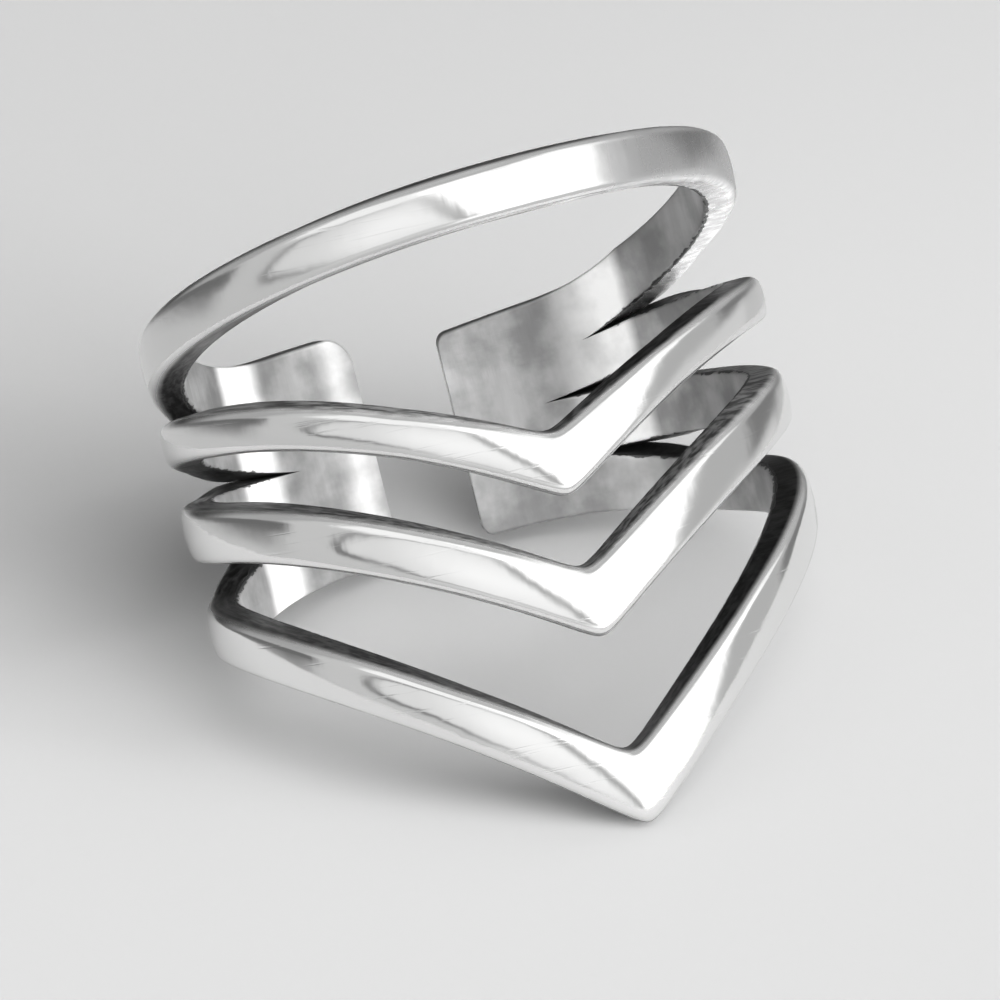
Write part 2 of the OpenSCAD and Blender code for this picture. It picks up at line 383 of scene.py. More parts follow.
    def torn(self, g: Graph, place: Socket) -> Socket:
        """The mask of the torn inner edges.

        Args:
            g: the material's graph.
            place: the ring's own coordinates.

        Returns:
            1 where the saw tore the metal, and 0 beyond the mesh's burr.
        """
        burr, chips = g.attribute("burr"), g.noise(place, self.chips)
        past = burr - self.torn_from + (chips - 0.5) * self.chip_spread
        return past.ease(0.0, self.torn_soft) * burr.ease(*self.burr_limits)


@dataclass(frozen=True)
class PaleFloor:
    """A plain matt floor, a little darker far behind the ring."""

    tone: float = 0.25
    far_tone: float = 0.215
    far_mm: float = 70.0
    rough: float = 0.8

    def make(self) -> bpy.types.Material:
        """Makes the material.

        Returns:
            A pale material without a pattern.
        """
        material = bpy.data.materials.new("pale_floor")
        material.use_nodes = True
        g = Graph(material.node_tree)
        back = g.part(g.add("ShaderNodeTexCoord", {}, output="Object"), "Y")
        colour = g.grey(back.ease(0.0, self.far_mm * MM, self.tone, self.far_tone))
        shader = g.add("ShaderNodeBsdfPrincipled", {}, {"Base Color": colour, "Roughness": self.rough})
        g.add("ShaderNodeOutputMaterial", {}, {"Surface": shader})
        return material


# The ring


class Side(Enum):
    """The upper or the lower edge of a bar."""

    UPPER = 1
    LOWER = -1


class Zone(Enum):
    """The surface that a point of a cross-section lies on."""

    FACE = "face"
    WALL = "wall"
    BORE = "bore"


@dataclass(frozen=True)
class Bar:
    """One bar: heights above the middle of the band at the front and at the side, the angle where
    its arms level out, its width, the width added at its point, how much higher its right arm
    stands, how far its polished face is turned down, how much further on its right arm, and the
    shares of the last polish that its left and its right arm lack, which also grey them as a
    painted darker reflection."""

    front: float
    side: float
    reach: float
    width: float
    tip: float
    right: float
    down_a: float
    right_down_a: float
    haze_and_shade: Pair


@dataclass(frozen=True)
class PaintedHighlightBand:
    """A painted highlight: a stretch of the bore painted bright in place of a reflection. It holds the
    angles of its two sides, the angle over which each side fades, its strength, and the share of it that is
    left below, behind the lowest bar, as painted shade."""

    sides: Pair
    soft: Pair
    strength: float
    low_share: float


@dataclass(frozen=True)
class Edge:
    """The upper or the lower edge of bar b, counted from the top."""

    b: int
    side: Side

    @property
    def line(self) -> int:
        """The line that the edge lies on, counted from the rim above the ring."""
        return self.b if self.side is Side.UPPER else self.b + 1


@dataclass
class Section:
    """The cross-sections of one bar at every angle, from its upper outer edge round to its upper wall.

    points holds radius and height by angle, walls and bores the shares of their finish, and burrs
    how near the point is to an inner edge that the saw tore. zones and sides say where each point
    lies. steps holds, for the step from each point to the next, the slit that it is a wall of, or 0,
    and whether it is the wall's outer half.
    """

    points: list[np.ndarray] = field(default_factory=list)
    walls: list[np.ndarray] = field(default_factory=list)
    bores: list[np.ndarray] = field(default_factory=list)
    burrs: list[np.ndarray] = field(default_factory=list)
    zones: list[Zone] = field(default_factory=list)
    sides: list[Side] = field(default_factory=list)
    steps: list[tuple[int, bool]] = field(default_factory=list)

    def put(
        self,
        point: np.ndarray,
        zone: Zone,
        side: Side,
        wall: np.ndarray | float = 0.0,
        step: tuple[int, bool] = (0, False),
        is_bore: bool = False,
        burr: np.ndarray | float = 0.0,
    ) -> None:
        """Adds one point to every cross-section.

        Args:
            point: its radius and height at each angle.
            zone: the surface that it lies on.
            side: the edge of the bar that it is nearer to.
            wall: its share of the walls' finish.
            step: the slit that the step after it is a wall of, or 0, and whether it is the outer half.
            is_bore: whether the rest of its finish is the bore's, and not the face's.
            burr: how near it is to a torn edge.
        """
        self.points.append(point)
        self.walls.append(np.broadcast_to(wall, len(point)))
        self.bores.append((1 - self.walls[-1]) * is_bore)
        self.burrs.append(np.broadcast_to(burr, len(point)))
        self.zones.append(zone)
        self.sides.append(side)
        self.steps.append(step)

    def at(self, zone: Zone) -> np.ndarray:
        """Whether each point lies on one surface."""
        return np.array([own is zone for own in self.zones])

    @property
    def is_upper(self) -> np.ndarray:
        """Whether each point is nearer to the upper edge."""
        return np.array([side is Side.UPPER for side in self.sides])

    @property
    def r(self) -> np.ndarray:
        """Radius of each point, by angle and point."""
        return np.stack(self.points, axis=1)[..., 0]

    @property
    def z(self) -> np.ndarray:
        """Height of each point, by angle and point."""
        return np.stack(self.points, axis=1)[..., 1]


@dataclass
class ChevronRing:
    """The ring, all one piece: a short band at the back that splits into four bars.

    A line is where two bars meet or a bar meets the air: line 0 is the rim above the ring, the next
    three are the slits, and the last is the rim below. In every method, a holds angles round the
    finger, which grow from the front to the right and are below 0 on the left.
    """

    bore_d: float = 17.3
    thickness: float = 1.2
    opening_w: float = 2.9
    band_h: float = 7.6
    # Radii of the corners of the band's ends, of which the upper left one is rounder
    corner_r: float = 0.35
    left_corner_r: float = 0.95
    # How far the band's upper edge sinks towards its right end
    right_sink: float = 0.85
    # Angles where the slits end on the inside, and how much sooner they end on the outside
    slits: Triple = (139.0, 151.0, 147.0)
    slant: float = 13.0
    bars: tuple[Bar, ...] = (
        Bar(8.6, 8.6, 0.0, 1.8, 0.0, 0.5, 1.5, -1.5, (0.25, 1.0)),
        Bar(-0.3, 3.0, 65.0, 1.45, 0.35, -0.5, 2.0, 7.0, (0.1, 0.25)),
        Bar(-4.75, -0.3, 75.0, 1.8, 0.05, -0.45, 0.6, 0.0, (0.0, 0.1)),
        Bar(-10.75, -3.7, 97.0, 1.7, 0.15, 0.0, 3.0, 3.0, (0.0, 0.0)),
    )
    # Radius of the outer edges before and after the polish, rise of the crown, size of inner edges
    edge_r: float = 0.22
    polished_edge_r: float = 0.29
    crown_h: float = 0.1
    chamfer: float = 0.12
    # Length over which a chevron's point is rounded, and the angle over which it is wider
    point_l: float = 0.35
    tip_a: float = 28.0
    # How soon the arms fall into the band: the higher, the sooner
    fall: float = 1.15
    # The places that the height of a rim is averaged over, and the angle between two of them
    rim_places: range = range(-2, 3)
    rim_a: float = 5.0
    # Angle over which a slit narrows on the outside before it ends
    narrow_a: float = 20.0
    # Metal that the last polish takes off every outer face
    polish: float = 0.0065

    # Cross-sections of one half, which lie closer together at the front, and points of each
    columns: int = 190
    column_power: float = 1.3
    arc_points: int = 6
    face_points: int = 9
    wall_points: int = 3
    bore_points: int = 3
    # Turns of the cross-sections at the band's rounded corners
    end_turns: range = range(5, 91, 5)
    # Angle that even cross-sections keep from those at a groove's start or end, and the slack with
    # which angles are compared
    clear_a: float = 0.3
    slack_a: float = 0.001
    # Points closer than the first are welded, and edges shorter than the second dissolved
    weld_gap: float = 0.002
    least_edge: float = 0.001
    sharp_a: float = 48.0

    # Angle to each side of the front over which the walls' brightness changes
    front_a: float = 20.0
    # How far the walls' dark finish reaches round the outer edges, as painted shade in place of dark
    # reflections there: the higher, the less
    edge_shade_reach: float = 3.0
    # Heights of a slit between which it goes from shut, with painted shade, to open
    shut_h: Pair = (0.21, 0.91)
    # Brightness of each bar's upper and lower walls, each on the left and on the right: partly what the
    # file and the polish left, and partly painted shade inside the slits
    wall_tones_and_shade: tuple[dict[Side, Pair], ...] = (
        {Side.UPPER: (0.1, 0.1), Side.LOWER: (0.05, 0.82)},
        {Side.UPPER: (0.35, 0.05), Side.LOWER: (0.05, 0.08)},
        {Side.UPPER: (0.16, 0.24), Side.LOWER: (0.05, 0.08)},
        {Side.UPPER: (0.05, 0.02), Side.LOWER: (0.1, 0.1)},
    )
    # Painted highlights: bands of the bore painted bright in place of reflections
    painted_highlight_bands: tuple[PaintedHighlightBand, ...] = (
        PaintedHighlightBand((-144.0, -131.0), (5.0, 3.0), 1.0, 1.0),
        PaintedHighlightBand((-168.0, -163.0), (4.0, 5.0), 0.4, 1.0),
        PaintedHighlightBand((126.0, 139.0), (3.0, 13.0), 1.0, 0.3),
    )
    # Heights between which a painted highlight band fades where the lowest bar begins, as painted shade of
    # that bar
    highlight_fade_z: Pair = (-2.6, -1.7)
    # Angles between which the right arms turn down, and all faces come back upright behind
    right_turn_a: Pair = (14.0, 30.0)
    upright_a: Pair = (95.0, 120.0)
    # Angles at which the haze of the left arms and of the right arms starts, is full, and ends
    left_haze_a: tuple[float, ...] = (-95.0, -75.0, -12.0, -4.0)
    right_haze_a: tuple[float, ...] = (20.0, 25.0, 75.0, 95.0)
    finish: PolishedSilver = field(default_factory=PolishedSilver)

    def __post_init__(self) -> None:
        """Works out the radii and the angles of the ends."""
        self.bore_r = self.bore_d / 2
        self.outer_r = self.bore_r + self.thickness - self.polish
        self.mm_a = math.degrees(1 / (self.bore_r + self.thickness))
        self.end_a = 180 - math.degrees(math.asin(self.opening_w / self.bore_d))
        self.corner_a = self.end_a - self.corner_r * self.mm_a
        self.round_corner_a = self.end_a - max(self.corner_r, self.left_corner_r) * self.mm_a
        self.sink_a = self.slits[0] - self.slant
        self.last = len(self.bars) - 1

    # Heights of the edges

    def is_slit(self, line: int) -> bool:
        """Whether a line is a slit, and not a rim."""
        return 0 < line <= self.last

    def slit_end(self, line: int) -> float:
        """The angle where a slit ends on the inside, or where the rim beyond it levels out."""
        return self.slits[min(max(line, 1), self.last) - 1]

    def share_left(self, bar: Bar, a: np.ndarray) -> np.ndarray:
        """Share of a chevron's reach that is left at each angle, rounded at its point."""
        return np.maximum(0, 1 - np.hypot(a, self.point_l * self.mm_a) / max(bar.reach, self.slack_a))

    def dip(self, bar: Bar, a: np.ndarray) -> np.ndarray:
        """How far a chevron hangs below its arms at each angle."""
        return (bar.side - bar.front) * self.share_left(bar, a) ** 2

    def half_h(self, bar: Bar, a: np.ndarray) -> np.ndarray:
        """Half the height of a bar, cut along the finger.

        Args:
            bar: the bar.
            a: the angles.

        Returns:
            The height at each angle, which is more than its width where the bar runs aslant.
        """
        share = self.share_left(bar, a) / max(bar.reach, self.slack_a)
        width = bar.width + bar.tip * np.maximum(0, 1 - np.abs(a) / self.tip_a)
        return width / 2 * np.hypot(1, 2 * (bar.side - bar.front) * share * self.mm_a)

    def lane_z(self, line: int) -> float:
        """Height of a line where its bars have run into the band."""
        return self.band_h * (0.5 - line / len(self.bars))

    def level_z(self, edge: Edge, a: np.ndarray) -> np.ndarray:
        """Height of an edge without the chevron's own depth.

        Args:
            edge: the edge.
            a: the angles.

        Returns:
            The height at each angle, which falls from the bar's own to the band's.
        """
        bar, lane = self.bars[edge.b], self.lane_z(edge.line)
        right_share = np.sin(np.radians(np.clip(a, 0, 90))) ** 2
        arm = bar.side + bar.right * right_share + edge.side.value * self.half_h(bar, a)
        turn = np.clip((np.abs(a) - bar.reach) / (self.slit_end(edge.line) - bar.reach), 0, 1)
        return lane + (arm - lane) * np.cos(turn * math.pi / 2) ** self.fall

    def edge_z(self, edge: Edge, a: np.ndarray) -> np.ndarray:
        """Height of an edge on the inside.

        Args:
            edge: the edge.
            a: the angles.

        Returns:
            The height at each angle. A rim's is averaged over its neighbours, which smooths it.
        """
        if self.is_slit(edge.line):
            level = self.level_z(edge, a)
        else:
            level = np.mean([self.level_z(edge, a + i * self.rim_a) for i in self.rim_places], axis=0)
        return (level - self.dip(self.bars[edge.b], a)) * self.end_share(edge.line, a)

    def end_share(self, line: int, a: np.ndarray) -> np.ndarray:
        """Share of a line's height that the corners of the ends and the sinking right rim leave it.

        Args:
            line: the line.
            a: the angles.

        Returns:
            The share at each angle.
        """
        upper = self.lane_z(line) > 0
        r = np.where((a < 0) & upper, self.left_corner_r, self.corner_r)
        u = np.maximum(0, np.abs(a) - self.end_a + r * self.mm_a) / (r * self.mm_a)
        drop = r * (1 - np.sqrt(np.maximum(0, 1 - u * u)))
        if upper:
            drop = drop + self.right_sink * np.maximum(0, (a - self.sink_a) / (self.end_a - self.sink_a))
        return 1 - drop * 2 / self.band_h

    def slit_span(self, line: int, a: np.ndarray) -> tuple[np.ndarray, np.ndarray]:
        """Middle height and height of a slit at each angle."""
        above, below = self.edge_z(Edge(line - 1, Side.LOWER), a), self.edge_z(Edge(line, Side.UPPER), a)
        return (above + below) / 2, above - below

    def narrow(self, line: int, a: np.ndarray) -> np.ndarray:
        """Share of its height that a slit keeps on the outside."""
        return np.clip((self.slit_end(line) - self.slant - np.abs(a)) / self.narrow_a, 0, 1)

    def outside_z(self, edge: Edge, a: np.ndarray) -> np.ndarray:
        """Height of an edge on the outside, where slits narrow before they end.

        Args:
            edge: the edge.
            a: the angles.

        Returns:
            The height at each angle.
        """
        z = self.edge_z(edge, a)
        if not self.is_slit(edge.line):
            return z
        middle = self.slit_span(edge.line, a)[0]
        return middle + (z - middle) * self.narrow(edge.line, a)

    def roundness(self, line: int, a: np.ndarray, is_outer: bool) -> np.ndarray:
        """How far the edges beside a line are rounded.

        Args:
            line: the line.
            a: the angles.
            is_outer: whether the outer edges are meant, and not the inner ones.

        Returns:
            1 where the line is well open and 0 where it is closed, at each angle.
        """
        if not self.is_slit(line):
            return np.ones_like(a)
        height = self.slit_span(line, a)[1] * (self.narrow(line, a) if is_outer else 1)
        return np.clip(height / (2 * self.edge_r), 0, 1)

    def skin_r(self, b: int, a: np.ndarray, z: np.ndarray) -> np.ndarray:
        """Radius of the outer face of a bar: crowned across the bar, rounded off at the two ends.

        Args:
            b: the bar.
            a: the angles.
            z: the height at each angle.

        Returns:
            The radius at each angle.
        """
        top, low = self.outside_z(Edge(b, Side.UPPER), a), self.outside_z(Edge(b, Side.LOWER), a)
        k = np.minimum(self.roundness(b, a, True), self.roundness(b + 1, a, True))
        across = ((2 * z - top - low) / (top - low)) ** 2
        crown = self.crown_h * (k * across + (1 - k) * (2 * z / self.band_h) ** 2)
        q = np.maximum(0, 1 - (self.end_a - np.abs(a)) / (self.polished_edge_r * self.mm_a))
        return self.outer_r - crown - self.polished_edge_r * (1 - np.sqrt(1 - q * q))

    # The cross-section of one bar

    def edge_point(self, edge: Edge, a: np.ndarray, turn: float, is_outer: bool) -> np.ndarray:
        """A point of a rounded edge.

        Args:
            edge: the edge.
            a: the angles.
            turn: 0 on the wall and 90 on the face or in the bore.
            is_outer: whether the edge between wall and face is meant, and not the bore's.

        Returns:
            Radius and height at each angle.
        """
        down, inward = 1 - math.cos(math.radians(turn)), 1 - math.sin(math.radians(turn))
        round_share = self.roundness(edge.line, a, is_outer)
        if is_outer:
            z = self.outside_z(edge, a) - edge.side.value * self.polished_edge_r * down
            r = self.skin_r(edge.b, a, z) - self.polished_edge_r * inward * round_share
        else:
            z = self.edge_z(edge, a) - edge.side.value * self.chamfer * down
            r = self.bore_r + self.chamfer * inward * round_share
        return np.stack([r, z], axis=-1)

    def wall_middle(self, edge: Edge, a: np.ndarray) -> np.ndarray:
        """Middle of a wall, which becomes the floor of the groove where a slit isn't open through.

        Args:
            edge: the wall's edge.
            a: the angles.

        Returns:
            Radius and height at each angle.
        """
        line = edge.line
        out, inside = (self.edge_point(edge, a, 0, is_outer) for is_outer in (True, False))
        if not self.is_slit(line):
            return (out + inside) / 2
        through = self.is_through(line, a)
        groove = np.maximum(0, (self.slit_end(line) - np.abs(a)) / self.slant)
        share = np.where(through, 0.5 + 0.5 * (1 - self.narrow(line, a)), groove)[:, None]
        point = inside + (out - inside) * share
        point[~through, 1] = self.slit_span(line, a)[0][~through]
        return point

    def is_through(self, line: int, a: np.ndarray) -> np.ndarray:
        """Where a slit is open right through."""
        return np.abs(a) < self.slit_end(line) - self.slant - self.slack_a

    def is_closed(self, line: int, a: np.ndarray) -> np.ndarray:
        """Where a slit has ended on the inside too."""
        return np.abs(a) > self.slit_end(line) - self.slack_a

    def section(self, b: int, a: np.ndarray) -> Section:
        """The cross-section of a bar at each angle.

        Args:
            b: the bar.
            a: the angles.

        Returns:
            The section.
        """
        section, upper, lower = Section(), Edge(b, Side.UPPER), Edge(b, Side.LOWER)
        turns = np.linspace(0, 90, self.arc_points)
        for turn in turns:
            self.put_edge(section, upper, a, turn, True)
        top, low = (self.edge_point(edge, a, 90, True)[:, 1] for edge in (upper, lower))
        for share in np.linspace(0, 1, self.face_points + 2)[1:-1]:
            z = top + (low - top) * share
            section.put(np.stack([self.skin_r(b, a, z), z], axis=-1), Zone.FACE, Side.UPPER)
        for turn in turns[::-1]:
            self.put_edge(section, lower, a, turn, True)
        self.put_wall(section, lower, a)
        for turn in turns:
            self.put_edge(section, lower, a, turn, False)
        start, stop = (self.edge_point(edge, a, 90, False) for edge in (lower, upper))
        for share in np.linspace(0, 1, self.bore_points + 2)[1:-1]:
            section.put(start * (1 - share) + stop * share, Zone.BORE, Side.UPPER, is_bore=True)
        for turn in turns[::-1]:
            self.put_edge(section, upper, a, turn, False)
        self.put_wall(section, upper, a)
        return section

    def put_edge(self, section: Section, edge: Edge, a: np.ndarray, turn: float, is_outer: bool) -> None:
        """Puts a point of a rounded edge into a bar's section.

        Args:
            section: the section.
            edge: the edge.
            a: the angles.
            turn: 0 on the wall and 90 on the face or in the bore.
            is_outer: whether the edge between wall and face is meant, and not the bore's.
        """
        round_share, is_slit = self.roundness(edge.line, a, is_outer), self.is_slit(edge.line)
        if is_outer:
            zone, burr = Zone.FACE, 0.0
            # The walls' dark finish reaches round the outer edge as painted shade, in place of dark
            # reflections there
            wall = math.cos(math.radians(turn)) ** self.edge_shade_reach * round_share
        else:
            zone, burr = Zone.BORE, round_share * is_slit * (1 - turn / 90)
            wall = round_share * (turn == 0)
        zone = Zone.WALL if turn == 0 else zone
        starts_wall = turn == 0 and (edge.side is Side.LOWER) == is_outer
        step = (edge.line * is_slit * starts_wall, is_outer)
        point = self.edge_point(edge, a, turn, is_outer)
        section.put(point, zone, edge.side, wall, step, not is_outer, burr)

    def put_wall(self, section: Section, edge: Edge, a: np.ndarray) -> None:
        """Puts the points of one wall: down a lower wall to the bore, or up an upper wall from it.

        Args:
            section: the section of the bar.
            edge: the wall's edge.
            a: the angles.
        """
        is_slit, is_lower = self.is_slit(edge.line), edge.side is Side.LOWER
        out, inside = (self.edge_point(edge, a, 0, is_outer) for is_outer in (True, False))
        first, second = (out, inside) if is_lower else (inside, out)
        middle = self.wall_middle(edge, a)
        wall = np.where(is_slit & self.is_closed(edge.line, a), 0.0, 1.0)
        shares = np.linspace(0, 1, self.wall_points + 1)[1:-1]
        halves = (
            ([first + (middle - first) * share for share in shares], is_lower),
            ([middle] + [middle + (second - middle) * share for share in shares], not is_lower),
        )
        for points, is_outer in halves:
            for point in points:
                section.put(point, Zone.WALL, edge.side, wall, (edge.line * is_slit, is_outer), True)

    # The mesh

    def half_angles(self) -> np.ndarray:
        """Angles of the cross-sections of one half.

        Returns:
            The angles from the front to the end, with one at each start and end of a groove.
        """
        keys = list(self.slits) + [s - self.slant for s in self.slits]
        start, length = self.round_corner_a, self.end_a - self.round_corner_a
        ends = [start + length * math.sin(math.radians(turn)) for turn in self.end_turns]
        even = [start * (i / self.columns) ** self.column_power for i in range(self.columns + 1)]
        clear = [a for a in even if min(abs(a - key) for key in keys) > self.clear_a]
        return np.array(sorted(keys + ends + clear))

    def make(self) -> bpy.types.Object:
        """Builds the ring and dresses it.

        Returns:
            The ring, at rest on the floor.
        """
        half = self.half_angles()
        angles = np.concatenate([-half[:0:-1], half])
        sections = [self.section(b, angles) for b in range(len(self.bars))]
        turn = np.radians(angles)[:, None]
        loops = [np.stack([s.r * np.sin(turn), -s.r * np.cos(turn), s.z], axis=-1) for s in sections]
        points = self.at_rest(np.concatenate([loop.reshape(-1, 3) for loop in loops]))

        mesh = bpy.data.meshes.new("silver_ring")
        mesh.from_pydata((points * MM).tolist(), [], self.faces(sections, angles))
        self.dress(mesh, sections, angles)
        self.weld(mesh)
        mesh.materials.append(self.finish.make())
        return add_object("silver_ring", mesh)

    def at_rest(self, points: np.ndarray) -> np.ndarray:
        """Leans the ring back until its lowest point and the band's lower edge touch the floor.

        Args:
            points: places in the ring's own frame.

        Returns:
            The places at rest, centred from front to back.
        """
        rest_r = self.bore_r + self.thickness - self.crown_h - self.edge_r
        low = self.edge_z(Edge(self.last, Side.LOWER), np.array([0.0, self.corner_a]))
        lean = math.atan2(low[1] - low[0], rest_r * (1 - math.cos(math.radians(self.corner_a))))
        leaned = points.copy()
        leaned[:, 1] = math.cos(lean) * points[:, 1] + math.sin(lean) * points[:, 2]
        leaned[:, 2] = math.cos(lean) * points[:, 2] - math.sin(lean) * points[:, 1]
        middle = (leaned[:, 1].min() + leaned[:, 1].max()) / 2
        return leaned - np.array([0, middle, leaned[:, 2].min()])

    def faces(self, sections: list[Section], a: np.ndarray) -> list[list[int]]:
        """The faces between the cross-sections, and those that close each bar at its ends.

        Args:
            sections: the sections of the bars.
            a: the angles.

        Returns:
            Point numbers of each face. Steps that lie inside the metal have none.
        """
        faces: list[list[int]] = []
        for b, section in enumerate(sections):
            count = len(section.points)
            base, final = b * len(a) * count, ((b + 1) * len(a) - 1) * count
            for j, (slit, is_outer) in enumerate(section.steps):
                n = (j + 1) % count
                inside = np.zeros(len(a), bool)
                if slit:
                    inside = ~self.is_through(slit, a) if is_outer else self.is_closed(slit, a)
                for k in np.flatnonzero(~(inside[:-1] & inside[1:])).tolist():
                    p, q = base + k * count, base + (k + 1) * count
                    faces.append([p + j, q + j, q + n, p + n])
            faces.append(list(range(base, base + count)))
            faces.append(list(range(final, final + count))[::-1])
        return faces

    def dress(self, mesh: bpy.types.Mesh, sections: list[Section], a: np.ndarray) -> None:
        """Gives each point what the finish reads: its place on the ring itself, and its masks.

        Args:
            mesh: the ring's mesh before it is welded.
            sections: the sections of the bars.
            a: the angles.
        """
        by_bar = [self.masks(b, section, a) for b, section in enumerate(sections)]
        for name in by_bar[0]:
            values = np.concatenate([masks[name].ravel() for masks in by_bar])
            mesh.attributes.new(name, "FLOAT", "POINT").data.foreach_set("value", values.astype("f"))
        arc = np.radians(a)[:, None] * self.bore_r
        own = [np.stack([arc + 0 * s.r, s.r, s.z], axis=-1).ravel() for s in sections]
        places = mesh.attributes.new("ring_mm", "FLOAT_VECTOR", "POINT")
        places.data.foreach_set("vector", np.concatenate(own).astype("f"))

    def weld(self, mesh: bpy.types.Mesh) -> None:
        """Welds the bars where no slit parts them, and smooths all but the sharp edges.

        Args:
            mesh: the ring's mesh.
        """
        work = bmesh.new()
        work.from_mesh(mesh)
        bmesh.ops.remove_doubles(work, verts=work.verts, dist=self.weld_gap * MM)
        bmesh.ops.dissolve_degenerate(work, dist=self.least_edge * MM, edges=work.edges)
        loose = [v for v in work.verts if not v.link_faces]
        bmesh.ops.delete(work, geom=loose, context="VERTS")
        bmesh.ops.recalc_face_normals(work, faces=work.faces)
        for face in work.faces:
            face.smooth = True
        work.to_mesh(mesh)
        work.free()
        mesh.set_sharp_from_angle(angle=math.radians(self.sharp_a))

    # The masks, each by angle and point

    def masks(self, b: int, section: Section, a: np.ndarray) -> dict[str, np.ndarray]:
        """Everything that the finish reads for a bar.

        Args:
            b: the bar.
            section: its section.
            a: the angles.

        Returns:
            The values of each attribute of the mesh.
        """
        return {
            "wall": np.stack(section.walls, axis=1),
            "bore": np.stack(section.bores, axis=1),
            "burr": np.stack(section.burrs, axis=1),
            "groove": self.groove_shade(b, section, a),
            "face_turn_mm": self.face_turn(b, section, a),
            "painted_highlight_band": self.brightness(section, a),
            "haze_and_shade": self.haze_and_shade(b, section, a),
            "wall_tone_and_shade": self.wall_tone_and_shade(b, section, a),
        }

    def groove_shade(self, b: int, section: Section, a: np.ndarray) -> np.ndarray:
        """Painted shade on a bar's walls: how deep its points lie in a narrow part of a slit.

        Args:
            b: the bar.
            section: its section.
            a: the angles.

        Returns:
            A share from 0 to 1.
        """
        upper, lower = self.closeness(b, a)[:, None], self.closeness(b + 1, a)[:, None]
        in_wall = section.at(Zone.WALL) * np.stack(section.walls, axis=1)
        return np.where(section.is_upper, upper, lower) * in_wall

    def closeness(self, line: int, a: np.ndarray) -> np.ndarray:
        """How close the walls beside a line stand.

        Args:
            line: the line.
            a: the angles.

        Returns:
            1 where a slit is nearly shut or a groove, falling to 0 where it is wide open.
        """
        if not self.is_slit(line):
            return np.zeros_like(a)
        return np.interp(self.slit_span(line, a)[1], self.shut_h, (1.0, 0.0))

    def face_turn(self, b: int, section: Section, a: np.ndarray) -> np.ndarray:
        """How far a bar's surface stands out because its face is turned down.

        Args:
            b: the bar.
            section: its section.
            a: the angles.

        Returns:
            A length in millimetres, which only shading uses.
        """
        share = np.interp(np.abs(a), self.upright_a, (1.0, 0.0))
        right = np.interp(a, self.right_turn_a, (0.0, 1.0))
        z = section.z
        middle = (z.max(axis=1) + z.min(axis=1)) / 2
        slope = np.tan(np.radians(self.bars[b].down_a + self.bars[b].right_down_a * right)) * share
        return (z - middle[:, None]) * slope[:, None]

    def brightness(self, section: Section, a: np.ndarray) -> np.ndarray:
        """How bright the bore is painted in its highlight bands.

        Args:
            section: the section of a bar.
            a: the angles.

        Returns:
            Up to 1 in the painted highlight bands, and 0 beside them.
        """
        z = section.z
        bright = np.zeros_like(z)
        for band in self.painted_highlight_bands:
            start, stop = (a - band.sides[0]) / band.soft[0], (band.sides[1] - a) / band.soft[1]
            inside = np.clip(np.minimum(start, stop) + 0.5, 0, 1) * band.strength
            fade = np.interp(z, self.highlight_fade_z, (band.low_share, 1.0))
            bright = np.maximum(bright, inside[:, None] * fade)
        return bright

    def haze_and_shade(self, b: int, section: Section, a: np.ndarray) -> np.ndarray:
        """Share of the last polish that a bar's outer face lacks, which also greys it as a painted darker
        reflection.

        Args:
            b: the bar.
            section: its section.
            a: the angles.

        Returns:
            The share, which is 0 off the face.
        """
        ramp = (0.0, 1.0, 1.0, 0.0)
        left, right = self.bars[b].haze_and_shade
        share = left * np.interp(a, self.left_haze_a, ramp) + right * np.interp(a, self.right_haze_a, ramp)
        return share[:, None] * section.at(Zone.FACE)

    def wall_tone_and_shade(self, b: int, section: Section, a: np.ndarray) -> np.ndarray:
        """Brightness of a bar's walls, partly their finish and partly painted shade, which runs from left
        to right round the front.

        Args:
            b: the bar.
            section: its section.
            a: the angles.

        Returns:
            The brightness.
        """
        front = (-self.front_a, self.front_a)
        upper, lower = (np.interp(a, front, self.wall_tones_and_shade[b][side])[:, None] for side in Side)
        return np.where(section.is_upper, upper, lower)


# Floor, light and camera


@dataclass(frozen=True)
class Card:
    """A patch of the surroundings, between two azimuths and two elevations.

    Azimuths run from -180 to 180, 0 in front of the ring and 90 to its right. tilt moves the patch
    sideways for each degree of height above middle, lift moves it up for each degree to the right of
    the middle of its azimuths, and oval cuts it to an ellipse, given by the azimuth and elevation of
    its centre and its half axes.
    """

    turn: Pair
    rise: Pair
    light: float
    soft: float = 4.0
    tilt: float = 0.0
    middle: float = 0.0
    lift: float = 0.0
    oval: tuple[float, float, float, float] | None = None

    def lay(self, below: Operand, turn: Socket, rise: Socket) -> Socket:
        """Lays the patch over the surroundings made so far.

        Args:
            below: their brightness.
            turn: azimuth of the direction.
            rise: its elevation.

        Returns:
            The brightness with the patch.
        """
        swung = turn + (rise - self.middle) * self.tilt
        raised = rise - (turn - sum(self.turn) / 2) * self.lift
        mask = swung.between(*self.turn, self.soft) * raised.between(*self.rise, self.soft)
        if self.oval is not None:
            across, up, half_w, half_h = self.oval
            away = (((swung - across) / half_w) ** 2 + ((raised - up) / half_h) ** 2) ** 0.5
            edge = self.soft / 2 / half_h
            mask = mask * away.ease(1 - edge, 1 + edge, 1.0, 0.0)
        return below + mask * (self.light - below)


